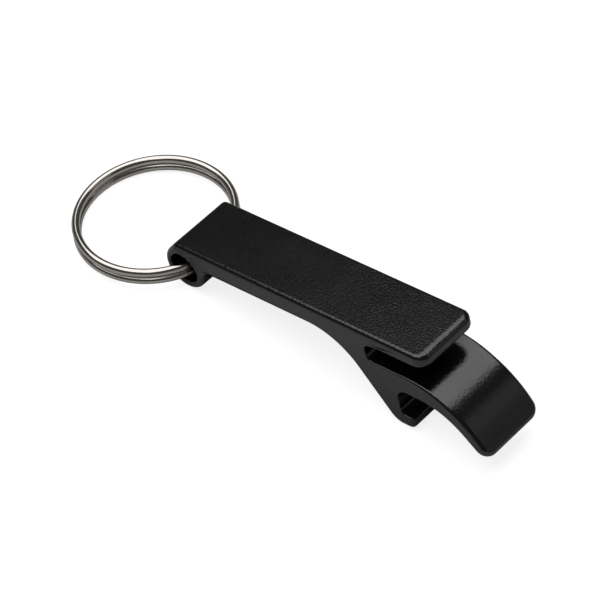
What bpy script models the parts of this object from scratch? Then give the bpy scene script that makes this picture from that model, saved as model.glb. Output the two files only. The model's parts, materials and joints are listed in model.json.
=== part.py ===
"""Keychain bottle opener: a lever cut from one aluminium extrusion, with a split ring through its tail.

Frame: metres, +Z up. The opener lies at rest on the plane z = 0, on its tail loop and on its hook, with
its head towards +X and the split ring lying towards -X. The origin is under the middle of the whole.

The lever is drawn in its own frame, whose origin is the bore's axis: x runs to the head, z to the top
face. Its rest pitch and the ring's droop are worked out from the sizes, so both still touch the plane
when a size changes.
"""
import math

import bmesh
import bpy
from mathutils import Matrix, Vector

MM = 0.001

# --- Lever: overall sizes -------------------------------------------------------------------------
LEVER_WIDTH = 11.4 * MM          # cut length of the extrusion, along Y
HEAD_REACH = 47.4 * MM           # bore axis to the flat end of the top plate
TOP_RISE = 4.3 * MM              # bore axis to the top face
RIM_ROUND = 0.7 * MM             # tumbled edges all round
INNER_RIM_ROUND = 0.2 * MM       # edges in the slot and in the mouth, which the tumbling hardly reaches
RIM_FADE_SHARE = 0.5             # share of a bend along which the round grows to its full size
PLATE_CORNER_ROUND = 2.0 * MM    # plate's head corners, seen from above

# --- Lever: tail loop -----------------------------------------------------------------------------
BORE_RADIUS = 2.5 * MM
BORE_RIM_ROUND = 0.35 * MM
LOOP_WALL = 1.15 * MM
LOOP_NECK_ROUND = 2.4 * MM       # inside corner between the loop and the bar's underside
TAIL_SLOPE = math.radians(45)    # sloped face that joins the loop to the top face
TAIL_EDGE_ROUND = 1.2 * MM

# --- Lever: bar and leg ---------------------------------------------------------------------------
BAR_THICKNESS = 3.4 * MM
LEG_ANGLE = math.radians(55.3)   # leg's outer face, below the bar's line
LEG_SHOULDER_ROUND = 10.2 * MM   # bar's underside into the leg

# --- Lever: slot between the plate and the tongue -------------------------------------------------
PLATE_THICKNESS = 2.2 * MM
SLOT_DEPTH = 11.4 * MM           # from the plate's end back to the slot's root
SLOT_HEIGHT = 3.0 * MM
SLOT_ROOT_ROUND = 1.2 * MM

# --- Lever: curved tongue -------------------------------------------------------------------------
TONGUE_ROOT_THICKNESS = 3.25 * MM
TONGUE_BEND_SETBACK = 4.8 * MM   # top bend starts this far behind the plate's end
TONGUE_TOP_RADIUS = 15.0 * MM
TONGUE_TOP_ANGLE = math.radians(60)
TONGUE_TOP_RUN = 1.9 * MM        # straight run after the top bend
TONGUE_BELLY_SETBACK = 3.8 * MM  # underside's bend starts this far behind the plate's end
TONGUE_BELLY_RADIUS = 12.3 * MM
TONGUE_BELLY_ANGLE = math.radians(45)
TONGUE_TIP_ANGLE = math.radians(55)
TONGUE_CORNER_ROUND = 1.8 * MM

# --- Lever: hook and the mouth for a bottle cap's edge --------------------------------------------
MOUTH_SETBACK = 6.85 * MM        # mouth's back wall behind the plate's end
MOUTH_HEIGHT = 4.95 * MM
MOUTH_CEILING_ROUND = 2.2 * MM
MOUTH_FLOOR_ROUND = 1.1 * MM
HOOK_THICKNESS = 2.2 * MM
HOOK_LIP_REACH = 2.1 * MM        # hook's lip in front of the mouth's back wall
HOOK_LIP_ROUND = 1.0 * MM        # under the lip
HOOK_LIP_FLAT = 0.05 * MM        # least flat that the lip's rounds leave between them
HOOK_HEEL_ROUND = 2.95 * MM

# --- Split ring -----------------------------------------------------------------------------------
RING_OUTER_DIAMETER = 25.0 * MM
WIRE_DIAMETER = 1.3 * MM
TURN_GAP = 0.12 * MM             # air between the two turns
RING_BORE_CLEARANCE = 0.15 * MM  # wire to the bore's wall, at every angle of swing
CROSSOVER_ARC = math.radians(30)  # stretch in which the wire climbs from one turn to the other
END_GAP_ARC = math.radians(4)    # cut end to the crossing wire

# --- Fineness -------------------------------------------------------------------------------------
CHORD_ERROR = 0.01 * MM          # flats of an outline's arcs, below the true curve
RING_STEP = math.radians(5)
ROUND_SEGMENTS = 3
RIM_ANGLE = math.radians(35)     # least angle between two faces whose edge is tumbled round
WELD_DISTANCE = 0.01 * MM

PART_NAME = "keychain_bottle_opener"


def clear_scene():
    for obj in list(bpy.data.objects):
        bpy.data.objects.remove(obj, do_unlink=True)


def new_collection(name):
    collection = bpy.data.collections.new(name)
    bpy.context.scene.collection.children.link(collection)
    return collection


def principled(name, color, roughness, metallic):
    material = bpy.data.materials.new(name)
    material.use_nodes = True
    shader = material.node_tree.nodes["Principled BSDF"]
    shader.inputs["Base Color"].default_value = (*color, 1.0)
    shader.inputs["Roughness"].default_value = roughness
    shader.inputs["Metallic"].default_value = metallic
    material.diffuse_color = (*color, 1.0)
    return material


# --- Outline helpers, in the lever's own x, z plane -------------------------------------------------
def arc(centre, radius, start, end):
    """Points on a circle from one angle to another, both ends included."""
    widest_step = 2 * math.acos(1 - CHORD_ERROR / radius)
    steps = max(2, math.ceil(abs(end - start) / widest_step))
    points = []
    for i in range(steps + 1):
        angle = start + (end - start) * i / steps
        points.append(centre + radius * Vector((math.cos(angle), math.sin(angle))))
    return points


def rounded_corner(before, corner, after, radius):
    """Points that replace a corner by an arc of the given radius, tangent to both sides."""
    if radius <= 0:
        return [corner]
    inward = (before - corner).normalized()
    outward = (after - corner).normalized()
    half = inward.angle(outward) / 2
    centre = corner + (inward + outward).normalized() * radius / math.sin(half)
    first = corner + inward * radius / math.tan(half)
    last = corner + outward * radius / math.tan(half)
    start = math.atan2(first.y - centre.y, first.x - centre.x)
    sweep = math.atan2(last.y - centre.y, last.x - centre.x) - start
    sweep = (sweep + math.pi) % (2 * math.pi) - math.pi
    return arc(centre, radius, start, start + sweep)


def rounded_outline(corners):
    """A closed outline from (point, radius) corners."""
    outline = []
    for i, (corner, radius) in enumerate(corners):
        before = corners[i - 1][0]
        after = corners[(i + 1) % len(corners)][0]
        outline += rounded_corner(before, corner, after, radius)
    return outline


def along(point, angle, distance):
    return point + distance * Vector((math.cos(angle), math.sin(angle)))


def meet(point_a, angle_a, point_b, angle_b):
    """Where the line through point_a at angle_a crosses the line through point_b at angle_b."""
    da = Vector((math.cos(angle_a), math.sin(angle_a)))
    db = Vector((math.cos(angle_b), math.sin(angle_b)))
    gap = point_b - point_a
    return point_a + da * (gap.x * db.y - gap.y * db.x) / (da.x * db.y - da.y * db.x)


# --- Sizes that follow from the driving ones --------------------------------------------------------
loop_radius = BORE_RADIUS + LOOP_WALL
bar_underside = TOP_RISE - BAR_THICKNESS
plate_underside = TOP_RISE - PLATE_THICKNESS
slot_floor = plate_underside - SLOT_HEIGHT
slot_root = HEAD_REACH - SLOT_DEPTH
mouth_ceiling = slot_floor - TONGUE_ROOT_THICKNESS
mouth_floor = mouth_ceiling - MOUTH_HEIGHT
mouth_back = HEAD_REACH - MOUTH_SETBACK
hook_bottom = mouth_floor - HOOK_THICKNESS
lip_front = mouth_back + HOOK_LIP_REACH
mouth_floor_round = min(MOUTH_FLOOR_ROUND, HOOK_LIP_REACH - RIM_ROUND - HOOK_LIP_FLAT)
lip_round = min(HOOK_LIP_ROUND, HOOK_THICKNESS - RIM_ROUND - HOOK_LIP_FLAT)
heel_centre = Vector((mouth_back, hook_bottom + HOOK_HEEL_ROUND))

ring_radius = (RING_OUTER_DIAMETER - WIRE_DIAMETER) / 2
turn_pitch = WIRE_DIAMETER + TURN_GAP
# The wire bows as it crosses the bore; its bow is shared to both sides of the bore's axis.
ring_bow = ring_radius - math.sqrt(ring_radius ** 2 - (LEVER_WIDTH / 2) ** 2)
ring_centre_reach = ring_radius - ring_bow / 2
# The ring lies as low in the bore as the clearance lets its lower turn go.
lower_turn_reach = BORE_RADIUS - WIRE_DIAMETER / 2 - RING_BORE_CLEARANCE
ring_sag = math.sqrt(lower_turn_reach ** 2 - (ring_bow / 2) ** 2) - turn_pitch / 2


def tongue_tip():
    """Top and bottom corners of the tongue's tip, and the two corners that its bends round."""
    top_start = HEAD_REACH - TONGUE_BEND_SETBACK
    top_lead = TONGUE_TOP_RADIUS * math.tan(TONGUE_TOP_ANGLE / 2)
    top_corner = Vector((top_start + top_lead, slot_floor))
    tip_top = along(top_corner, -TONGUE_TOP_ANGLE, top_lead + TONGUE_TOP_RUN)
    belly_start = HEAD_REACH - TONGUE_BELLY_SETBACK
    belly_lead = TONGUE_BELLY_RADIUS * math.tan(TONGUE_BELLY_ANGLE / 2)
    belly_corner = Vector((belly_start + belly_lead, mouth_ceiling))
    tip_bottom = meet(tip_top, -TONGUE_TIP_ANGLE - math.pi / 2, belly_corner, -TONGUE_BELLY_ANGLE)
    return top_corner, tip_top, tip_bottom, belly_corner


def lever_outline():
    """The extrusion's outline, clockwise from the tail's top edge, seen with the head to the right."""
    top_corner, tip_top, tip_bottom, belly_corner = tongue_tip()
    heel_corner = Vector((mouth_back - HOOK_HEEL_ROUND * math.tan(LEG_ANGLE / 2), hook_bottom))
    leg_corner = meet(heel_corner, math.pi - LEG_ANGLE, Vector((0, bar_underside)), 0)
    corners = [
        (Vector((HEAD_REACH, TOP_RISE)), 0),
        (Vector((HEAD_REACH, plate_underside)), 0),
        (Vector((slot_root, plate_underside)), SLOT_ROOT_ROUND),
        (Vector((slot_root, slot_floor)), SLOT_ROOT_ROUND),
        (top_corner, TONGUE_TOP_RADIUS),
        (tip_top, 0),
        (tip_bottom, 0),
        (belly_corner, TONGUE_BELLY_RADIUS),
        (Vector((mouth_back, mouth_ceiling)), MOUTH_CEILING_ROUND),
        (Vector((mouth_back, mouth_floor)), mouth_floor_round),
        (Vector((lip_front, mouth_floor)), 0),
        (Vector((lip_front, hook_bottom)), lip_round),
        (heel_corner, HOOK_HEEL_ROUND),
        (leg_corner, LEG_SHOULDER_ROUND),
    ]
    # Neck: an arc outside the loop that touches both the bar's underside and the loop.
    neck_z = bar_underside - LOOP_NECK_ROUND
    neck_x = math.sqrt((loop_radius + LOOP_NECK_ROUND) ** 2 - neck_z ** 2)
    neck_angle = math.atan2(neck_z, neck_x)
    neck = arc(Vector((neck_x, neck_z)), LOOP_NECK_ROUND, math.pi / 2, math.pi + neck_angle)
    # Loop: round under the bore, up to where the tail's slope touches it.
    slope_normal = math.pi - TAIL_SLOPE
    loop = arc(Vector((0, 0)), loop_radius, neck_angle, slope_normal - 2 * math.pi)
    tail_edge = meet(along(Vector((0, 0)), slope_normal, loop_radius), TAIL_SLOPE, Vector((0, TOP_RISE)), 0)
    corners += [(point, 0) for point in neck + loop[1:]]
    corners.append((tail_edge, TAIL_EDGE_ROUND))
    return rounded_outline(corners)


# --- Solids -----------------------------------------------------------------------------------------
def extrude_outline(name, outline, width, collection):
    """A plate of the outline's shape, standing in the x, z plane and centred on y = 0."""
    curve = bpy.data.curves.new(name, "CURVE")
    curve.dimensions = "2D"
    curve.fill_mode = "BOTH"
    curve.extrude = width / 2
    spline = curve.splines.new("POLY")
    spline.points.add(len(outline) - 1)
    for point, place in zip(spline.points, outline):
        point.co = (place.x, place.y, 0, 1)
    spline.use_cyclic_u = True
    drawn = bpy.data.objects.new(name + "_outline", curve)
    collection.objects.link(drawn)
    drawn.rotation_euler = (math.pi / 2, 0, 0)
    bpy.context.view_layer.update()
    mesh = bpy.data.meshes.new_from_object(drawn.evaluated_get(bpy.context.evaluated_depsgraph_get()))
    mesh.name = name
    mesh.transform(drawn.matrix_world)
    bpy.data.objects.remove(drawn, do_unlink=True)
    weld_and_merge_flats(mesh)
    solid = bpy.data.objects.new(name, mesh)
    collection.objects.link(solid)
    return solid


def weld_and_merge_flats(mesh):
    """Closes the filled caps onto the walls, and makes each cap a single face."""
    work = bmesh.new()
    work.from_mesh(mesh)
    bmesh.ops.remove_doubles(work, verts=work.verts, dist=WELD_DISTANCE)
    bmesh.ops.dissolve_limit(work, angle_limit=math.radians(1), verts=work.verts, edges=work.edges)
    bmesh.ops.recalc_face_normals(work, faces=work.faces)
    work.to_mesh(mesh)
    work.free()


def corner_round(crosswise, place):
    """Round of the upright edges at the plate's end and at the tongue's tip, on the two cut sides."""
    if crosswise:
        return 0
    if abs(place.x - HEAD_REACH) < WELD_DISTANCE and place.y > plate_underside:
        return PLATE_CORNER_ROUND
    _, tip_top, tip_bottom, _ = tongue_tip()
    at_tip = (place - (tip_top + tip_bottom) / 2).length < WELD_DISTANCE
    return TONGUE_CORNER_ROUND if at_tip else 0


def rim_round(crosswise, place):
    """Round of a tumbled edge: tight in the slot and the mouth, and growing along the tongue's bends."""
    if crosswise:
        return RIM_ROUND
    bends = [
        (TONGUE_BEND_SETBACK, slot_floor, TONGUE_TOP_RADIUS, TONGUE_TOP_ANGLE),
        (TONGUE_BELLY_SETBACK, mouth_ceiling, TONGUE_BELLY_RADIUS, TONGUE_BELLY_ANGLE),
    ]
    for setback, height, radius, bend_angle in bends:
        spoke = place - Vector((HEAD_REACH - setback, height - radius))
        if spoke.x > 0 and abs(spoke.length - radius) < 2 * CHORD_ERROR:
            bent_share = min(math.atan2(spoke.x, spoke.y) / (RIM_FADE_SHARE * bend_angle), 1)
            return INNER_RIM_ROUND + (RIM_ROUND - INNER_RIM_ROUND) * bent_share
    x = place.x + WELD_DISTANCE
    z = place.y + WELD_DISTANCE
    in_slot = x > slot_root and slot_floor < z < plate_underside
    in_mouth = mouth_back < x < HEAD_REACH - TONGUE_BELLY_SETBACK and mouth_floor < z < slot_floor
    return INNER_RIM_ROUND if in_slot or in_mouth else RIM_ROUND


def bevel(obj, name, round_of, widest, segments):
    """Rounds the sharp edges, each by its own share of the widest round, and bakes the result."""
    work = bmesh.new()
    work.from_mesh(obj.data)
    layers = work.edges.layers.float
    shares = layers.get("bevel_weight_edge") or layers.new("bevel_weight_edge")
    for edge in work.edges:
        a, b = (vertex.co for vertex in edge.verts)
        crosswise = abs(a.y - b.y) > WELD_DISTANCE
        sharp = edge.calc_face_angle(0) > RIM_ANGLE
        edge[shares] = round_of(crosswise, ((a + b) / 2).xz) / widest if sharp else 0
    work.to_mesh(obj.data)
    work.free()
    rounding = obj.modifiers.new(name, "BEVEL")
    rounding.width = widest
    rounding.segments = segments
    rounding.limit_method = "WEIGHT"
    rounding.use_clamp_overlap = False
    graph = bpy.context.evaluated_depsgraph_get()
    rounded = bpy.data.meshes.new_from_object(obj.evaluated_get(graph))
    obj.modifiers.remove(rounding)
    obj.data = rounded


def bore_cutter(collection):
    """A pin of the bore's radius that flares at both ends, so that it leaves rounded rims."""
    half = LEVER_WIDTH / 2
    flare = BORE_RADIUS + BORE_RIM_ROUND
    rim = arc(Vector((flare, half - BORE_RIM_ROUND)), BORE_RIM_ROUND, math.pi / 2, math.pi)
    upper = [Vector((0, half + MM)), Vector((flare, half + MM))] + rim
    profile = upper + [Vector((point.x, -point.y)) for point in reversed(upper)]
    mesh = bpy.data.meshes.new("bore_cutter")
    edges = [(i, i + 1) for i in range(len(profile) - 1)]
    mesh.from_pydata([(point.x, 0, point.y) for point in profile], edges, [])
    cutter = bpy.data.objects.new("bore_cutter", mesh)
    collection.objects.link(cutter)
    turn = cutter.modifiers.new("turn", "SCREW")
    turn.steps = 36
    turn.render_steps = 36
    turn.use_merge_vertices = True
    turn.merge_threshold = 0.005 * MM
    cutter.rotation_euler = (math.pi / 2, 0, 0)
    cutter.hide_render = True
    cutter.display_type = "WIRE"
    return cutter


def build_lever(parts, cutters, rest):
    lever = extrude_outline("opener_lever", lever_outline(), LEVER_WIDTH, parts)
    widest_corner = max(PLATE_CORNER_ROUND, TONGUE_CORNER_ROUND)
    bevel(lever, "end_corners", corner_round, widest_corner, 2 * ROUND_SEGMENTS)
    bevel(lever, "tumbled_rims", rim_round, max(RIM_ROUND, INNER_RIM_ROUND), ROUND_SEGMENTS)
    cutter = bore_cutter(cutters)
    cutter.parent = rest
    bore = lever.modifiers.new("bore", "BOOLEAN")
    bore.operation = "DIFFERENCE"
    bore.solver = "EXACT"
    bore.object = cutter
    lever.data.materials.append(principled("black_anodised_aluminium", (0.021, 0.021, 0.023), 0.34, 0.6))
    lever.parent = rest
    return lever


def turn_height(angle):
    """Height of the wire's centre over the ring's middle plane; 0 to 720 degrees from the first end."""
    climb_start = 2 * math.pi - CROSSOVER_ARC - END_GAP_ARC
    share = min(max((angle - climb_start) / CROSSOVER_ARC, 0), 1)
    smooth = share * share * (3 - 2 * share)
    return (smooth - 0.5) * turn_pitch


def build_split_ring(parts, hinge):
    """Two turns of one wire. Its ends and its crossing lie inside the lever's bore."""
    total = 4 * math.pi - CROSSOVER_ARC - 2 * END_GAP_ARC
    first_end = CROSSOVER_ARC / 2 + END_GAP_ARC
    steps = math.ceil(total / RING_STEP)
    curve = bpy.data.curves.new("split_ring", "CURVE")
    curve.dimensions = "3D"
    curve.bevel_depth = WIRE_DIAMETER / 2
    curve.bevel_resolution = 2
    curve.use_fill_caps = True
    spline = curve.splines.new("POLY")
    spline.points.add(steps)
    for i, point in enumerate(spline.points):
        angle = total * i / steps
        around = first_end + angle
        x = ring_radius * math.cos(around) - ring_centre_reach
        y = ring_radius * math.sin(around)
        point.co = (x, y, turn_height(angle) - ring_sag, 1)
    ring = bpy.data.objects.new("split_ring", curve)
    parts.objects.link(ring)
    ring.data.materials.append(principled("nickel_plated_steel", (0.62, 0.59, 0.55), 0.16, 1.0))
    ring.parent = hinge
    return ring


# --- Rest position ----------------------------------------------------------------------------------
def lever_pitch():
    """Head-up turn that brings the tail loop and the hook's heel onto one plane."""
    offset = math.atan2(-heel_centre.y, heel_centre.x)
    return offset + math.asin((HOOK_HEEL_ROUND - loop_radius) / heel_centre.length)


def ring_droop():
    """Turn that lets the ring down from level until its far side touches the plane."""
    far = ring_centre_reach + ring_radius
    low = ring_sag + turn_pitch / 2
    rise = loop_radius - WIRE_DIAMETER / 2
    return math.asin(rise / math.hypot(far, low)) - math.atan2(low, far)


def empty(name, collection, parent=None):
    marker = bpy.data.objects.new(name, None)
    marker.empty_display_size = 5 * MM
    collection.objects.link(marker)
    marker.parent = parent
    return marker


def world_corners(objects):
    graph = bpy.context.evaluated_depsgraph_get()
    corners = []
    for obj in objects:
        shape = obj.evaluated_get(graph)
        mesh = shape.to_mesh()
        corners += [obj.matrix_world @ vertex.co for vertex in mesh.vertices]
        shape.to_mesh_clear()
    return corners


def main():
    clear_scene()
    parts = new_collection(PART_NAME)
    cutters = new_collection("cutters")

    bore_axis = empty("bore_axis", parts)
    bore_axis.location = (0, 0, loop_radius)
    lever_rest = empty("lever_rest", parts, bore_axis)
    lever_rest.rotation_euler = (0, -lever_pitch(), 0)
    ring_hinge = empty("ring_hinge", parts, bore_axis)
    ring_hinge.rotation_euler = (0, -ring_droop(), 0)

    lever = build_lever(parts, cutters, lever_rest)
    ring = build_split_ring(parts, ring_hinge)

    bpy.context.view_layer.update()
    lengths = [corner.x for corner in world_corners([lever, ring])]
    bore_axis.location.x = -(min(lengths) + max(lengths)) / 2
    bpy.context.view_layer.update()


main()
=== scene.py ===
# %% [markdown]
# # Keychain bottle opener
# The real opener is one short slice, sawn from a long aluminium extrusion, tumbled until every edge is
# round, and then anodised black. A nickel-plated split ring runs through the bore in its tail.
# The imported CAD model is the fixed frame: it says how big everything is and where it lies. This lesson
# gives its two pieces their fine surfaces and finishes, and lights them on a pale floor.

# %% Load the frame
import json
import math

import bmesh
import bpy
from mathutils import Matrix, Vector


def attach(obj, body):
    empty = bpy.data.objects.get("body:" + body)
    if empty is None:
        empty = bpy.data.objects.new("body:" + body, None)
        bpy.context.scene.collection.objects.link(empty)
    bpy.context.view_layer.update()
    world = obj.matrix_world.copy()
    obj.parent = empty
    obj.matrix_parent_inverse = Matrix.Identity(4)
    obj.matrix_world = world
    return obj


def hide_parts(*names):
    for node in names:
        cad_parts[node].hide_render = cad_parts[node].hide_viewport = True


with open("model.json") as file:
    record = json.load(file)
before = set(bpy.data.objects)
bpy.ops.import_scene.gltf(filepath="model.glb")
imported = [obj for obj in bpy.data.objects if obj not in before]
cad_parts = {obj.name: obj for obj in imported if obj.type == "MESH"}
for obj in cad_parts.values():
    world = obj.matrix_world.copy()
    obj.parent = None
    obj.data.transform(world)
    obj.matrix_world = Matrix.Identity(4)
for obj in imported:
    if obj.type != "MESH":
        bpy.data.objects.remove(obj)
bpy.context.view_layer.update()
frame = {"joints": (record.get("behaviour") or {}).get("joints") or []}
MM = 0.001

# %% [markdown]
# ## Sizes
# The lever's shape is all in one outline, because an extrusion is the same along its whole length. These
# are that outline's sizes, as the CAD has them, in the lever's own frame: the origin is the bore's axis,
# x runs to the head and z up to the top face. Its pitch follows from them, because it rests on its tail
# loop and on its hook.

# %% Lever sizes
LEVER_WIDTH = 11.4 * MM
HEAD_REACH = 47.4 * MM
TOP_RISE = 4.3 * MM
RIM_ROUND = 0.7 * MM
INNER_RIM_ROUND = 0.2 * MM
RIM_FADE_SHARE = 0.5
PLATE_CORNER_ROUND = 2.0 * MM
BORE_RADIUS = 2.5 * MM
BORE_RIM_ROUND = 0.35 * MM
LOOP_RADIUS = 3.65 * MM
NECK_ROUND = 2.4 * MM
TAIL_SLOPE = math.radians(45)
TAIL_EDGE_ROUND = 1.2 * MM
BAR_UNDERSIDE = TOP_RISE - 3.4 * MM
LEG_ANGLE = math.radians(55.3)
SHOULDER_ROUND = 10.2 * MM
PLATE_UNDERSIDE = TOP_RISE - 2.2 * MM
SLOT_ROOT = HEAD_REACH - 11.4 * MM
SLOT_FLOOR = PLATE_UNDERSIDE - 3.0 * MM
SLOT_ROUND = 1.2 * MM
BEND_START = HEAD_REACH - 4.8 * MM
TONGUE_TOP_RADIUS = 15.0 * MM
TONGUE_TOP_ANGLE = math.radians(60)
BELLY_START = HEAD_REACH - 3.8 * MM
TONGUE_BELLY_RADIUS = 12.3 * MM
TONGUE_BELLY_ANGLE = math.radians(45)
TONGUE_STRAIGHT = 1.9 * MM
TONGUE_TIP_ANGLE = math.radians(55)
TONGUE_CORNER_ROUND = 1.8 * MM
MOUTH_CEILING = SLOT_FLOOR - 3.25 * MM
MOUTH_FLOOR = MOUTH_CEILING - 4.95 * MM
MOUTH_BACK = HEAD_REACH - 6.85 * MM
CEILING_ROUND = 2.2 * MM
FLOOR_ROUND = 1.1 * MM
HOOK_BOTTOM = MOUTH_FLOOR - 2.2 * MM
LIP_FRONT = MOUTH_BACK + 2.1 * MM
LIP_ROUND = 1.0 * MM
HEEL_ROUND = 2.95 * MM

# %% Where the lever rests
bore_place = Vector(frame["joints"][0]["pos_m"])
heel = Vector((MOUTH_BACK, HOOK_BOTTOM + HEEL_ROUND))
pitch = math.atan2(-heel.y, heel.x) + math.asin((HEEL_ROUND - LOOP_RADIUS) / heel.length)
lever_rest = Matrix.Translation(bore_place) @ Matrix.Rotation(-pitch, 4, "Y")
print("lever pitch, degrees:", round(math.degrees(pitch), 2))


# %% [markdown]
# ## Helpers for node trees
# Both pieces are made by Geometry Nodes and both finishes by shader nodes. One helper adds a node, sets
# its values and links its inputs, so that each tree reads as a list of steps.

# %% Node helpers
def add(tree, kind, feeds=None, **settings):
    """A new node. feeds gives an input's name or number its value, or the output that it is linked to."""
    made = tree.nodes.new(kind)
    for name, value in settings.items():
        setattr(made, name, value)
    for key, value in (feeds or {}).items():
        if isinstance(value, bpy.types.NodeSocket):
            tree.links.new(value, made.inputs[key])
        else:
            made.inputs[key].default_value = value
    return made


def new_tree(name, kind, takes, gives):
    """A node tree with named inputs and outputs, and its two end nodes."""
    tree = bpy.data.node_groups.new(name, kind)
    for label, socket in takes:
        tree.interface.new_socket(label, in_out="INPUT", socket_type="NodeSocket" + socket)
    for label, socket in gives:
        tree.interface.new_socket(label, in_out="OUTPUT", socket_type="NodeSocket" + socket)
    return tree, tree.nodes.new("NodeGroupInput"), tree.nodes.new("NodeGroupOutput")


def math_node(tree, operation, *values):
    return add(tree, "ShaderNodeMath", dict(enumerate(values)), operation=operation).outputs[0]


def evaluated_mesh(obj, name):
    """A plain mesh of what the object's modifiers make."""
    graph = bpy.context.evaluated_depsgraph_get()
    mesh = bpy.data.meshes.new_from_object(obj.evaluated_get(graph), depsgraph=graph)
    mesh.name = name
    return mesh


def put_in_scene(name, data):
    made = bpy.data.objects.new(name, data)
    bpy.context.scene.collection.objects.link(made)
    return made


def run_tree(obj, tree, values):
    """Gives the object a Geometry Nodes modifier and sets its inputs by their identifiers."""
    modifier = obj.modifiers.new(tree.name, "NODES")
    modifier.node_group = tree
    for item in tree.interface.items_tree:
        if item.item_type == "SOCKET" and item.in_out == "INPUT" and item.name in values:
            modifier[item.identifier] = values[item.name]
    return modifier


# %% [markdown]
# ## The lever's outline
# A toolmaker draws such a die as straight lines with a round at each corner. The outline here is the same:
# a list of corners, each with the radius that rounds it. The loop round the bore is three corners whose
# rounds meet, which makes one unbroken arc.

# %% Outline helpers
def along(point, angle, distance):
    return point + distance * Vector((math.cos(angle), math.sin(angle)))


def meet(point_a, angle_a, point_b, angle_b):
    """Where the line through point_a at angle_a crosses the line through point_b at angle_b."""
    da = Vector((math.cos(angle_a), math.sin(angle_a)))
    db = Vector((math.cos(angle_b), math.sin(angle_b)))
    gap = point_b - point_a
    return point_a + da * (gap.x * db.y - gap.y * db.x) / (da.x * db.y - da.y * db.x)


# %% Tongue corners
top_lead = TONGUE_TOP_RADIUS * math.tan(TONGUE_TOP_ANGLE / 2)
top_corner = Vector((BEND_START + top_lead, SLOT_FLOOR))
tip_top = along(top_corner, -TONGUE_TOP_ANGLE, top_lead + TONGUE_STRAIGHT)
belly_lead = TONGUE_BELLY_RADIUS * math.tan(TONGUE_BELLY_ANGLE / 2)
belly_corner = Vector((BELLY_START + belly_lead, MOUTH_CEILING))
tip_bottom = meet(tip_top, -TONGUE_TIP_ANGLE - math.pi / 2, belly_corner, -TONGUE_BELLY_ANGLE)
print("tongue tip thickness, mm:", round((tip_top - tip_bottom).length / MM, 2))

# %% Neck, loop and hook corners
neck_z = BAR_UNDERSIDE - NECK_ROUND
neck_angle = math.asin(neck_z / (LOOP_RADIUS + NECK_ROUND))
neck_touch = along(Vector((0, 0)), neck_angle, LOOP_RADIUS)
neck_corner = meet(neck_touch, neck_angle + math.pi / 2, Vector((0, BAR_UNDERSIDE)), 0)
slope_normal = math.pi - TAIL_SLOPE
LOOP_CORNERS = 3
sector = (neck_angle - slope_normal + 2 * math.pi) / LOOP_CORNERS
loop_corners = [
    along(Vector((0, 0)), neck_angle - (i + 0.5) * sector, LOOP_RADIUS / math.cos(sector / 2))
    for i in range(LOOP_CORNERS)
]
slope_touch = along(Vector((0, 0)), slope_normal, LOOP_RADIUS)
tail_edge = meet(slope_touch, TAIL_SLOPE, Vector((0, TOP_RISE)), 0)
heel_corner = Vector((MOUTH_BACK - HEEL_ROUND * math.tan(LEG_ANGLE / 2), HOOK_BOTTOM))
leg_corner = meet(heel_corner, math.pi - LEG_ANGLE, Vector((0, BAR_UNDERSIDE)), 0)

# %% The outline as one curve, each corner's round in its point's radius
OUTLINE = [
    (Vector((HEAD_REACH, TOP_RISE)), 0),
    (Vector((HEAD_REACH, PLATE_UNDERSIDE)), 0),
    (Vector((SLOT_ROOT, PLATE_UNDERSIDE)), SLOT_ROUND),
    (Vector((SLOT_ROOT, SLOT_FLOOR)), SLOT_ROUND),
    (top_corner, TONGUE_TOP_RADIUS),
    (tip_top, 0),
    (tip_bottom, 0),
    (belly_corner, TONGUE_BELLY_RADIUS),
    (Vector((MOUTH_BACK, MOUTH_CEILING)), CEILING_ROUND),
    (Vector((MOUTH_BACK, MOUTH_FLOOR)), FLOOR_ROUND),
    (Vector((LIP_FRONT, MOUTH_FLOOR)), 0),
    (Vector((LIP_FRONT, HOOK_BOTTOM)), LIP_ROUND),
    (heel_corner, HEEL_ROUND),
    (leg_corner, SHOULDER_ROUND),
    (neck_corner, NECK_ROUND),
    *[(corner, LOOP_RADIUS) for corner in loop_corners],
    (tail_edge, TAIL_EDGE_ROUND),
]
drawn = bpy.data.curves.new("lever_outline", "CURVE")
drawn.dimensions = "3D"
spline = drawn.splines.new("POLY")
spline.points.add(len(OUTLINE) - 1)
for point, (corner, corner_radius) in zip(spline.points, OUTLINE):
    point.co = (corner.x, corner.y, 0, 1)
    point.radius = corner_radius
spline.use_cyclic_u = True
lever = put_in_scene("lever_outline", drawn)
print("outline corners:", len(OUTLINE))

# %% [markdown]
# ## Sawing the slice
# Pushing metal through a die is a fillet, a fill and an extrusion, so three Geometry Nodes make it. The
# bore is a second curve inside the outline, which the fill leaves open. The extrusion leaves its starting
# face behind, so a flipped copy closes it.

# %% The extrusion's tree
saw_tree, given, result = new_tree(
    "sawn_extrusion",
    "GeometryNodeTree",
    [("Geometry", "Geometry"), ("Cut Length", "Float"), ("Corner Steps", "Int"), ("Bore Radius", "Float"),
     ("Bore Steps", "Int"), ("Weld Distance", "Float"), ("Material", "Material")],
    [("Geometry", "Geometry")],
)
rounded = add(saw_tree, "GeometryNodeFilletCurve", {
    "Curve": given.outputs["Geometry"],
    "Count": given.outputs["Corner Steps"],
    "Radius": add(saw_tree, "GeometryNodeInputRadius").outputs[0],
    "Limit Radius": False,
}, mode="POLY")
bore = add(saw_tree, "GeometryNodeCurvePrimitiveCircle", {
    "Resolution": given.outputs["Bore Steps"],
    "Radius": given.outputs["Bore Radius"],
})
both = add(saw_tree, "GeometryNodeJoinGeometry", {"Geometry": rounded.outputs[0]})
saw_tree.links.new(bore.outputs["Curve"], both.inputs[0])
face = add(saw_tree, "GeometryNodeFillCurve", {"Curve": both.outputs[0]}, mode="NGONS")
clean_face = add(saw_tree, "GeometryNodeMergeByDistance", {
    "Geometry": face.outputs[0],
    "Distance": given.outputs["Weld Distance"],
})
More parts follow.
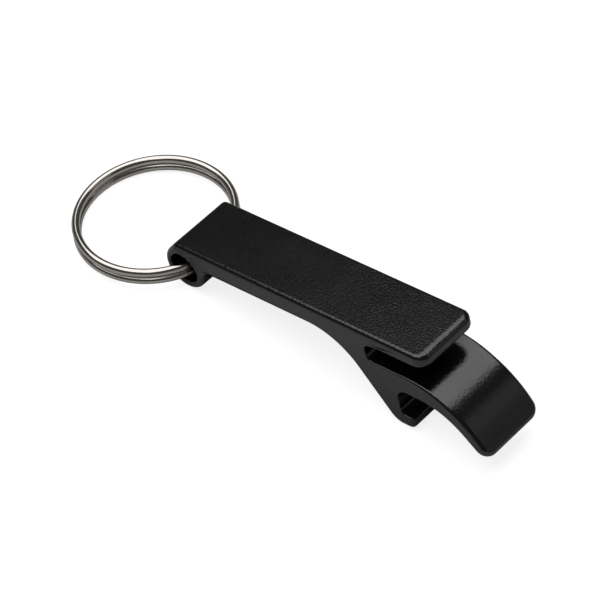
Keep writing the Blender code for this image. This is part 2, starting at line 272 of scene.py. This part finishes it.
pushed = add(saw_tree, "GeometryNodeExtrudeMesh", {
    "Mesh": clean_face.outputs[0],
    "Offset": (0, 0, 1),
    "Offset Scale": given.outputs["Cut Length"],
    "Individual": False,
}, mode="FACES")
start_face = add(saw_tree, "GeometryNodeFlipFaces", {"Mesh": clean_face.outputs[0]})
slice_parts = add(saw_tree, "GeometryNodeJoinGeometry", {"Geometry": pushed.outputs["Mesh"]})
saw_tree.links.new(start_face.outputs[0], slice_parts.inputs[0])
closed = add(saw_tree, "GeometryNodeMergeByDistance", {
    "Geometry": slice_parts.outputs[0],
    "Distance": given.outputs["Weld Distance"],
})
real = add(saw_tree, "GeometryNodeRealizeInstances", {0: closed.outputs[0]})
coloured = add(saw_tree, "GeometryNodeSetMaterial", {
    "Geometry": real.outputs[0],
    "Material": given.outputs["Material"],
})
saw_tree.links.new(coloured.outputs[0], result.inputs[0])

# %% Saw it
anodised = bpy.data.materials.new("black_anodised_aluminium")
run_tree(lever, saw_tree, {
    "Cut Length": LEVER_WIDTH,
    "Corner Steps": 20,
    "Bore Radius": BORE_RADIUS,
    "Bore Steps": 72,
    "Weld Distance": 0.004 * MM,
    "Material": anodised,
})
slice_mesh = evaluated_mesh(lever, "lever_slice")
bpy.data.objects.remove(lever, do_unlink=True)
slice_mesh.transform(Matrix.Rotation(math.pi / 2, 4, "X") @ Matrix.Translation((0, 0, -LEVER_WIDTH / 2)))
print("sawn slice:", len(slice_mesh.vertices), "points,", len(slice_mesh.polygons), "faces")

# %% [markdown]
# ## Tumbling
# Tumbling in a drum of stones rounds every edge, and the thin corners at the plate's end and at the
# tongue's tip most of all. The stones hardly reach into the slot and the mouth, so the edges there stay
# nearly sharp, and on the tongue the round grows from there to the tip. Two Bevel modifiers do the same:
# the first rounds the corners, the second all the rims. An edge's weight is its share of the widest round.
# The stones also wear the plate's top before its end, so that it leans down there and catches the light.

# %% Tumbling helpers
SHARP = math.radians(30)
NEAR = 0.01 * MM
CORNER_SEGMENTS = 12
RIM_SEGMENTS = 6


def tumbled(mesh, name, round_of, widest, segments):
    """The mesh after a Bevel that gives each sharp edge the round that round_of says."""
    weights = "bevel_weight_edge"
    layer = mesh.attributes.get(weights) or mesh.attributes.new(weights, "FLOAT", "EDGE")
    work = bmesh.new()
    work.from_mesh(mesh)
    shares = []
    for edge in work.edges:
        a, b = (vert.co for vert in edge.verts)
        crosswise = abs(a.y - b.y) > NEAR
        sharp = edge.calc_face_angle(0) > SHARP
        shares.append(round_of(crosswise, ((a + b) / 2).xz) / widest if sharp else 0)
    work.free()
    for item, share in zip(layer.data, shares):
        item.value = share
    print(name, "- rounded edges:", sum(share > 0 for share in shares), "of", len(shares))
    shown = put_in_scene(name, mesh)
    rounding = shown.modifiers.new(name, "BEVEL")
    rounding.width = widest
    rounding.segments = segments
    rounding.limit_method = "WEIGHT"
    rounding.use_clamp_overlap = False
    made = evaluated_mesh(shown, name)
    bpy.data.objects.remove(shown, do_unlink=True)
    return made


# %% Round the end corners
def corner_round(crosswise, place):
    """Round of the upright edges at the plate's end and at the tongue's tip, on the two cut sides."""
    if crosswise:
        return 0
    if abs(place.x - HEAD_REACH) < NEAR and place.y > PLATE_UNDERSIDE:
        return PLATE_CORNER_ROUND
    return TONGUE_CORNER_ROUND if (place - (tip_top + tip_bottom) / 2).length < 20 * NEAR else 0


cornered = tumbled(slice_mesh, "cornered_slice", corner_round, PLATE_CORNER_ROUND, CORNER_SEGMENTS)


# %% Round the rims
def rim_round(crosswise, place):
    """Round of a rim: tighter at the bore, tight in the slot and the mouth, growing along the bends."""
    if place.length < BORE_RADIUS + 10 * NEAR:
        return BORE_RIM_ROUND
    if crosswise:
        return RIM_ROUND
    bends = [
        (BEND_START, SLOT_FLOOR, TONGUE_TOP_RADIUS, TONGUE_TOP_ANGLE),
        (BELLY_START, MOUTH_CEILING, TONGUE_BELLY_RADIUS, TONGUE_BELLY_ANGLE),
    ]
    for start, height, radius, bend_angle in bends:
        spoke = place - Vector((start, height - radius))
        if spoke.x > 0 and abs(spoke.length - radius) < NEAR:
            bent_share = min(math.atan2(spoke.x, spoke.y) / (RIM_FADE_SHARE * bend_angle), 1)
            return INNER_RIM_ROUND + (RIM_ROUND - INNER_RIM_ROUND) * bent_share
    in_slot = place.x > SLOT_ROOT - NEAR and SLOT_FLOOR - NEAR < place.y < PLATE_UNDERSIDE - NEAR
    at_mouth_height = MOUTH_FLOOR - NEAR < place.y < MOUTH_CEILING + NEAR
    in_mouth = MOUTH_BACK - NEAR < place.x < BELLY_START and at_mouth_height
    return INNER_RIM_ROUND if in_slot or in_mouth else RIM_ROUND


lever_mesh = tumbled(cornered, "opener_lever_fine", rim_round, RIM_ROUND, RIM_SEGMENTS)
print("tumbled lever:", len(lever_mesh.vertices), "points")

# %% Ease the plate's end
EASE_LENGTH = 1.3 * MM
EASE_RADIUS = 3.0 * MM
EASE_CUTS = 10


def ease_plate_end(mesh):
    """Leans the plate's top down in an arc before its end, where the stones strike it most."""
    work = bmesh.new()
    work.from_mesh(mesh)
    start = HEAD_REACH - EASE_LENGTH
    lowest = PLATE_UNDERSIDE - NEAR
    for i in range(EASE_CUTS):
        cut = (start + EASE_LENGTH * i / EASE_CUTS, 0, 0)
        plate = [face for face in work.faces if max(vert.co.z for vert in face.verts) > lowest]
        shape = plate + list({edge for face in plate for edge in face.edges})
        shape += list({vert for face in plate for vert in face.verts})
        bmesh.ops.bisect_plane(work, geom=shape, dist=0.1 * NEAR, plane_co=cut, plane_no=(1, 0, 0))
    eased = [vert for vert in work.verts if vert.co.x > start and vert.co.z > lowest]
    for vert in eased:
        drop = (vert.co.x - start) ** 2 / (2 * EASE_RADIUS)
        vert.co.z -= drop * (vert.co.z - PLATE_UNDERSIDE) / (TOP_RISE - PLATE_UNDERSIDE)
    work.to_mesh(mesh)
    work.free()
    return len(eased)


print("eased points:", ease_plate_end(lever_mesh))

# %% [markdown]
# ## Smooth shading and the cut sides
# A rim must shade as one round between two true flats. A Weighted Normal modifier does that: it turns each
# point's normal towards the largest face beside it. The same normals tell the sawn sides from the
# extruded faces, so their share towards the side is kept as an attribute for the finish to read.

# %% Shade, place and mark the lever
def put_piece(name, mesh, material):
    """A piece at the origin, unturned, with its one material."""
    mesh.materials.clear()
    mesh.materials.append(material)
    return put_in_scene(name, mesh)


for polygon in lever_mesh.polygons:
    polygon.use_smooth = True
shaded = put_in_scene("shaded_lever", lever_mesh)
weighting = shaded.modifiers.new("flats_stay_flat", "WEIGHTED_NORMAL")
weighting.weight = 100
weighting.keep_sharp = True
lever_mesh = evaluated_mesh(shaded, "lever_body")
bpy.data.objects.remove(shaded, do_unlink=True)

side_share = [0.0] * len(lever_mesh.vertices)
for loop, normal in zip(lever_mesh.loops, lever_mesh.corner_normals):
    side_share[loop.vertex_index] = abs(normal.vector.y)
marks = lever_mesh.attributes.new("cut_side", "FLOAT", "POINT")
marks.data.foreach_set("value", side_share)
# The CAD's flats are chords of these arcs, so the fine skin is drawn a thousandth small to stay inside.
SKIN_SCALE = 0.999
lever_mesh.transform(lever_rest @ Matrix.Scale(SKIN_SCALE, 4))
lever_body = put_piece("lever_body", lever_mesh, anodised)
print("points on the cut sides:", sum(share > 0.99 for share in side_share))

# %% [markdown]
# ## The split ring
# A split ring is one wire wound twice round, with a short climb where it changes from one turn to the
# other. That is a path with a rule, so its tree works out each point from its number: the angle round the
# ring, and a height that steps smoothly from the lower turn to the upper. A circle swept along the path
# is the wire. The climb and both cut ends lie inside the bore, as in the CAD.

# %% Ring sizes
RING_RADIUS = 11.846 * MM
WIRE_RADIUS = 0.645 * MM
TURN_PITCH = 1.42 * MM
CLIMB_ARC = math.radians(30)
END_GAP_ARC = math.radians(4)
CAD_WIRE_RADIUS = 0.65 * MM
BORE_CLEARANCE = 0.15 * MM
LOWEST_REACH = BORE_RADIUS - CAD_WIRE_RADIUS - BORE_CLEARANCE

ring_bow = RING_RADIUS - math.sqrt(RING_RADIUS ** 2 - (LEVER_WIDTH / 2) ** 2)
ring_reach = RING_RADIUS - ring_bow / 2
ring_sag = math.sqrt(LOWEST_REACH ** 2 - (ring_bow / 2) ** 2) - TURN_PITCH / 2
far_side = ring_reach + RING_RADIUS
low_side = ring_sag + TURN_PITCH / 2
wire_rise = LOOP_RADIUS - CAD_WIRE_RADIUS
droop = math.asin(wire_rise / math.hypot(far_side, low_side)) - math.atan2(low_side, far_side)
ring_rest = Matrix.Translation(bore_place) @ Matrix.Rotation(-droop, 4, "Y")
ring_rest = ring_rest @ Matrix.Translation((-ring_reach, 0, -ring_sag))
print("ring droop, degrees:", round(math.degrees(droop), 2))

# %% The wound wire's tree
wind_tree, given, result = new_tree(
    "wound_wire",
    "GeometryNodeTree",
    [("Geometry", "Geometry"), ("Ring Radius", "Float"), ("Wire Radius", "Float"), ("Turn Pitch", "Float"),
     ("Climb Arc", "Float"), ("End Gap", "Float"), ("Path Points", "Int"), ("Wire Sides", "Int"),
     ("Material", "Material")],
    [("Geometry", "Geometry")],
)
given_out = given.outputs
spent_arc = math_node(wind_tree, "MULTIPLY_ADD", given_out["End Gap"], 2.0, given_out["Climb Arc"])
whole_arc = math_node(wind_tree, "SUBTRACT", 4 * math.pi, spent_arc)
last_number = math_node(wind_tree, "SUBTRACT", given_out["Path Points"], 1.0)
number = add(wind_tree, "GeometryNodeInputIndex").outputs[0]
run_share = math_node(wind_tree, "DIVIDE", number, last_number)
travelled = math_node(wind_tree, "MULTIPLY", run_share, whole_arc)
first_end = math_node(wind_tree, "MULTIPLY_ADD", given_out["Climb Arc"], 0.5, given_out["End Gap"])
round_angle = math_node(wind_tree, "ADD", travelled, first_end)
climb_end = math_node(wind_tree, "SUBTRACT", 2 * math.pi, given_out["End Gap"])
climb_start = math_node(wind_tree, "SUBTRACT", climb_end, given_out["Climb Arc"])
climb = add(wind_tree, "ShaderNodeMapRange", {
    "Value": travelled, "From Min": climb_start, "From Max": climb_end, "To Min": -0.5, "To Max": 0.5,
}, interpolation_type="SMOOTHSTEP").outputs["Result"]
across = math_node(wind_tree, "COSINE", round_angle)
upward = math_node(wind_tree, "SINE", round_angle)
place = add(wind_tree, "ShaderNodeCombineXYZ", {
    "X": math_node(wind_tree, "MULTIPLY", across, given_out["Ring Radius"]),
    "Y": math_node(wind_tree, "MULTIPLY", upward, given_out["Ring Radius"]),
    "Z": math_node(wind_tree, "MULTIPLY", climb, given_out["Turn Pitch"]),
})
points = add(wind_tree, "GeometryNodeMeshLine", {"Count": given_out["Path Points"]})
wound = add(wind_tree, "GeometryNodeSetPosition", {
    "Geometry": points.outputs[0], "Position": place.outputs[0],
})
path = add(wind_tree, "GeometryNodeMeshToCurve", {"Mesh": wound.outputs[0]})
path_marked = add(wind_tree, "GeometryNodeStoreNamedAttribute", {
    "Geometry": path.outputs[0],
    "Name": "wire_run",
    "Value": add(wind_tree, "GeometryNodeSplineParameter").outputs["Length"],
}, data_type="FLOAT", domain="POINT")
section = add(wind_tree, "GeometryNodeCurvePrimitiveCircle", {
    "Resolution": given_out["Wire Sides"], "Radius": given_out["Wire Radius"],
})
section_marked = add(wind_tree, "GeometryNodeStoreNamedAttribute", {
    "Geometry": section.outputs["Curve"],
    "Name": "wire_side",
    "Value": add(wind_tree, "GeometryNodeInputPosition").outputs[0],
}, data_type="FLOAT_VECTOR", domain="POINT")
swept = add(wind_tree, "GeometryNodeCurveToMesh", {
    "Curve": path_marked.outputs[0], "Profile Curve": section_marked.outputs[0], "Fill Caps": True,
})
smooth = add(wind_tree, "GeometryNodeSetShadeSmooth", {"Geometry": swept.outputs[0], "Shade Smooth": True})
real = add(wind_tree, "GeometryNodeRealizeInstances", {0: smooth.outputs[0]})
coloured = add(wind_tree, "GeometryNodeSetMaterial", {
    "Geometry": real.outputs[0], "Material": given_out["Material"],
})
wind_tree.links.new(coloured.outputs[0], result.inputs[0])

# %% Wind it
nickel = bpy.data.materials.new("polished_nickel_wire")
winding = put_in_scene("ring_winding", bpy.data.meshes.new("ring_winding"))
run_tree(winding, wind_tree, {
    "Ring Radius": RING_RADIUS,
    "Wire Radius": WIRE_RADIUS,
    "Turn Pitch": TURN_PITCH,
    "Climb Arc": CLIMB_ARC,
    "End Gap": END_GAP_ARC,
    "Path Points": 340,
    "Wire Sides": 28,
    "Material": nickel,
})
ring_mesh = evaluated_mesh(winding, "ring_wire")
bpy.data.objects.remove(winding, do_unlink=True)


def close_and_turn_outwards(mesh):
    """Welds loose seams and points every face outwards."""
    work = bmesh.new()
    work.from_mesh(mesh)
    bmesh.ops.remove_doubles(work, verts=work.verts, dist=0.001 * MM)
    bmesh.ops.recalc_face_normals(work, faces=work.faces)
    for face in work.faces:
        face.smooth = len(face.verts) == 4
    open_edges = sum(len(edge.link_faces) != 2 for edge in work.edges)
    work.to_mesh(mesh)
    work.free()
    return open_edges


print("ring's open edges:", close_and_turn_outwards(ring_mesh))
ring_mesh.transform(ring_rest)
ring_wire = put_piece("ring_wire", ring_mesh, nickel)
print("ring wire:", len(ring_mesh.vertices), "points")

# %% [markdown]
# ## Effects that both metals share
# Seen close, neither metal is one flat shade. A fine grain is left by the blasting and the tumbling, and
# long faint lines by the die, or by the draw plate. Both effects are shader node groups, so each
# metal uses them with its own sizes. They put out only heights and a cloud mask: the shaders stay in the
# materials.

# %% The grain group
grain, given, result = new_tree(
    "fine_grain",
    "ShaderNodeTree",
    [("Vector", "Vector"), ("Grain Size", "Float"), ("Coarse Share", "Float")],
    [("Height", "Float"), ("Cloud", "Float")],
)
fine_scale = math_node(grain, "DIVIDE", 1.0, given.outputs["Grain Size"])
coarse_scale = math_node(grain, "DIVIDE", fine_scale, 3.1)
cloud_scale = math_node(grain, "DIVIDE", fine_scale, 24.0)
fine = add(grain, "ShaderNodeTexNoise", {
    "Vector": given.outputs["Vector"], "Scale": fine_scale, "Detail": 2.0, "Roughness": 0.6,
})
coarse = add(grain, "ShaderNodeTexNoise", {
    "Vector": given.outputs["Vector"], "Scale": coarse_scale, "Detail": 2.0, "Roughness": 0.5,
})
cloud = add(grain, "ShaderNodeTexNoise", {
    "Vector": given.outputs["Vector"], "Scale": cloud_scale, "Detail": 3.0, "Roughness": 0.55,
})
height = add(grain, "ShaderNodeMix", {
    "Factor": given.outputs["Coarse Share"], "A": fine.outputs["Fac"], "B": coarse.outputs["Fac"],
})
grain.links.new(height.outputs["Result"], result.inputs["Height"])
grain.links.new(cloud.outputs["Fac"], result.inputs["Cloud"])

# %% The drawn-lines group
lines, given, result = new_tree(
    "drawn_lines",
    "ShaderNodeTree",
    [("Vector", "Vector"), ("Line Width", "Float"), ("Stretch", "Vector")],
    [("Height", "Float")],
)
squeezed = add(lines, "ShaderNodeVectorMath", {0: given.outputs["Vector"], 1: given.outputs["Stretch"]},
               operation="MULTIPLY")
line_scale = math_node(lines, "DIVIDE", 1.0, given.outputs["Line Width"])
streaks = add(lines, "ShaderNodeTexNoise", {
    "Vector": squeezed.outputs[0], "Scale": line_scale, "Detail": 3.0, "Roughness": 0.65,
})
lines.links.new(streaks.outputs["Fac"], result.inputs["Height"])
print("shared effects:", grain.name, lines.name)


# %% [markdown]
# ## Black anodised aluminium
# Anodising grows a hard clear oxide with black dye in its pores: almost no light comes back out of it, and
# what shows is the sheen of its skin. The extruded faces are satin, with a fine grain and the short marks
# that the stones left along the lever. The sawn sides are duller, and the tumbled rims the smoothest.

# %% Material helpers
def shader_of(material):
    material.use_nodes = True
    return material.node_tree, material.node_tree.nodes["Principled BSDF"]


def group_node(tree, group, feeds):
    made = add(tree, "ShaderNodeGroup", node_tree=group)
    for key, value in feeds.items():
        if isinstance(value, bpy.types.NodeSocket):
            tree.links.new(value, made.inputs[key])
        else:
            made.inputs[key].default_value = value
    return made.outputs


def blend(tree, share, low, high):
    """A value between low and high."""
    return add(tree, "ShaderNodeMapRange", {"Value": share, "To Min": low, "To Max": high}).outputs["Result"]


def tint(tree, share, low, high):
    """A colour between low and high."""
    made = add(tree, "ShaderNodeMix", data_type="RGBA")
    tree.links.new(share, made.inputs["Factor"])
    made.inputs["A"].default_value = (*low, 1)
    made.inputs["B"].default_value = (*high, 1)
    return made.outputs["Result"]


# %% Anodised finish
tree, shader = shader_of(anodised)
place = add(tree, "ShaderNodeTexCoord").outputs["Object"]
in_lever = add(tree, "ShaderNodeMapping", {
    "Vector": place, "Location": bore_place, "Rotation": (0, -pitch, 0),
}, vector_type="TEXTURE").outputs[0]
cut_side = add(tree, "ShaderNodeAttribute", attribute_name="cut_side").outputs["Fac"]
face_grain = group_node(tree, grain, {"Vector": in_lever, "Grain Size": 0.36 * MM, "Coarse Share": 0.15})
stone_marks = group_node(tree, lines, {
    "Vector": in_lever, "Line Width": 0.28 * MM, "Stretch": (0.4, 1, 0.4),
})
saw_lines = group_node(tree, lines, {
    "Vector": in_lever, "Line Width": 0.25 * MM, "Stretch": (0.25, 1, 1),
})

sawn = math_node(tree, "GREATER_THAN", cut_side, 0.97)
# Rims are where the share is between the two kinds of face: 4 s (1 - s) is 1 halfway.
off_side = math_node(tree, "SUBTRACT", 1.0, cut_side)
rim = math_node(tree, "MULTIPLY", math_node(tree, "MULTIPLY", cut_side, 4.0), off_side)

cloudy = blend(tree, face_grain["Cloud"], -0.05, 0.05)
extruded_rough = math_node(tree, "ADD", 0.15, cloudy)
face_rough = math_node(tree, "MULTIPLY_ADD", sawn, 0.17, extruded_rough)
rough = math_node(tree, "MULTIPLY_ADD", rim, -0.05, face_rough)
tree.links.new(rough, shader.inputs["Roughness"])
tree.links.new(tint(tree, face_grain["Cloud"], (0.0030, 0.0029, 0.0030), (0.0056, 0.0052, 0.0053)),
               shader.inputs["Base Color"])

line_height = add(tree, "ShaderNodeMix", {
    "Factor": sawn, "A": stone_marks["Height"], "B": saw_lines["Height"],
})
grain_bump = add(tree, "ShaderNodeBump", {
    "Height": face_grain["Height"], "Strength": 0.45, "Distance": 0.05 * MM,
})
line_bump = add(tree, "ShaderNodeBump", {
    "Height": line_height.outputs["Result"], "Normal": grain_bump.outputs[0], "Strength": 0.2,
    "Distance": 0.04 * MM,
})
tree.links.new(line_bump.outputs[0], shader.inputs["Normal"])
shader.inputs["IOR"].default_value = 1.77

# %% [markdown]
# ## Polished nickel wire
# The ring is drawn steel wire with a bright nickel plate: a warm, slightly yellow mirror. The draw plate
# left faint lines that run along the wire, so this pattern reads the distance along the wire and the
# place round its section, which the winding stored as attributes.

# %% Nickel finish
tree, shader = shader_of(nickel)
run = add(tree, "ShaderNodeAttribute", attribute_name="wire_run").outputs["Fac"]
round_wire = add(tree, "ShaderNodeAttribute", attribute_name="wire_side").outputs["Vector"]
section_place = add(tree, "ShaderNodeSeparateXYZ", {0: round_wire})
on_wire = add(tree, "ShaderNodeCombineXYZ", {
    "X": run, "Y": section_place.outputs["X"], "Z": section_place.outputs["Y"],
}).outputs[0]
wire_grain = group_node(tree, grain, {"Vector": on_wire, "Grain Size": 0.12 * MM, "Coarse Share": 0.5})
draw_lines = group_node(tree, lines, {"Vector": on_wire, "Line Width": 0.12 * MM, "Stretch": (0.03, 1, 1)})

tree.links.new(tint(tree, wire_grain["Cloud"], (0.62, 0.585, 0.54), (0.74, 0.705, 0.66)),
               shader.inputs["Base Color"])
wire_rough = math_node(tree, "MULTIPLY_ADD", draw_lines["Height"], 0.12, 0.06)
tree.links.new(wire_rough, shader.inputs["Roughness"])
wire_bump = add(tree, "ShaderNodeBump", {
    "Height": draw_lines["Height"], "Strength": 0.25, "Distance": 0.01 * MM,
})
tree.links.new(wire_bump.outputs[0], shader.inputs["Normal"])
shader.inputs["Metallic"].default_value = 1.0
print("finishes:", anodised.name, nickel.name)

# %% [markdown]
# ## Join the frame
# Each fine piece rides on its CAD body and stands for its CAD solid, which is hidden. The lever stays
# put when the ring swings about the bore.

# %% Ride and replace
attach(lever_body, "lever")
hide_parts("opener_lever")
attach(ring_wire, "ring")
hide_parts("split_ring")
print("pieces:", lever_body.name, ring_wire.name)

# %% [markdown]
# ## The studio
# A black, glossy object is lit by what it reflects. One large softbox overhead, a little to the back left,
# gives the tongue's crest and the plate's end their bright band. Two dim cards stand beyond the tongue, one
# above the other: the far side of the tongue's bend mirrors them as grey. The pale floor lights the sawn
# sides from below. The far surroundings stay dim, which keeps the top face nearly black.

# %% Floor
floor_finish = bpy.data.materials.new("pale_floor")
tree, shader = shader_of(floor_finish)
floor_place = add(tree, "ShaderNodeTexCoord").outputs["Object"]
paper = group_node(tree, grain, {"Vector": floor_place, "Grain Size": 1.5 * MM, "Coarse Share": 0.5})
tree.links.new(tint(tree, paper["Cloud"], (0.58, 0.58, 0.58), (0.60, 0.60, 0.60)),
               shader.inputs["Base Color"])
seen_floor = add(tree, "ShaderNodeLightPath").outputs["Is Camera Ray"]
shader.inputs["Emission Color"].default_value = (1, 1, 1, 1)
tree.links.new(blend(tree, seen_floor, 0.0, 0.83), shader.inputs["Emission Strength"])
shader.inputs["Roughness"].default_value = 0.9
shader.inputs["Specular IOR Level"].default_value = 0.1
floor_mesh = bpy.data.meshes.new("studio_floor")
work = bmesh.new()
bmesh.ops.create_circle(work, cap_ends=True, radius=3.0, segments=96)
work.to_mesh(floor_mesh)
work.free()
studio_floor = put_piece("studio_floor", floor_mesh, floor_finish)


# %% Lights
def softbox(name, place, aim, size, power):
    """A rectangular softbox that faces the aim point."""
    lamp = bpy.data.lights.new(name, "AREA")
    lamp.shape = "RECTANGLE"
    lamp.size, lamp.size_y = size
    lamp.energy = power
    held = put_in_scene(name, lamp)
    held.location = place
    held.rotation_euler = (Vector(aim) - Vector(place)).to_track_quat("-Z", "Y").to_euler()
    return held


softbox("overhead_softbox", (-0.32, 0.02, 0.80), (-0.32, 0.02, 0), (1.12, 1.16), 5.9)
softbox("upper_card", (0.50, 0.378, 0.483), (0, 0.378, 0), (0.5, 0.233), 0.070)
softbox("lower_card", (0.66, 0.378, 0.20), (0, 0.378, -0.06), (0.5, 0.43), 0.075)

world = bpy.data.worlds.new("dim_studio")
bpy.context.scene.world = world
world.use_nodes = True
air = world.node_tree
backdrop = air.nodes["Background"]
seen = add(air, "ShaderNodeLightPath").outputs["Is Camera Ray"]
air.links.new(tint(air, seen, (0.06, 0.06, 0.06), (1.0, 1.0, 1.0)), backdrop.inputs["Color"])
backdrop.inputs["Strength"].default_value = 1.0
bpy.context.scene.view_settings.view_transform = "Standard"

# %% [markdown]
# ## The camera
# A long lens, half a metre away, looks down at the head's near corner from a quarter of the way round. It
# is set by an azimuth, an elevation and a distance, because those are the numbers a studio would note.

# %% Camera
AZIMUTH = math.radians(45.99)
ELEVATION = math.radians(48.44)
ROLL = math.radians(-5.55)
DISTANCE = 0.474
AIM = Vector((1.32, -0.45, 5.0)) * MM
back = Vector((math.sin(AZIMUTH) * math.cos(ELEVATION), -math.cos(AZIMUTH) * math.cos(ELEVATION),
               math.sin(ELEVATION)))
lens = bpy.data.cameras.new("studio_camera")
lens.sensor_width = 36
lens.lens = 199.8
camera = put_in_scene("studio_camera", lens)
camera.location = AIM + back * DISTANCE
level = back.to_track_quat("Z", "Y")
camera.rotation_mode = "QUATERNION"
camera.rotation_quaternion = level @ Matrix.Rotation(ROLL, 4, "Z").to_quaternion()
bpy.context.scene.camera = camera
print("camera at, mm:", [round(value / MM, 1) for value in camera.location])
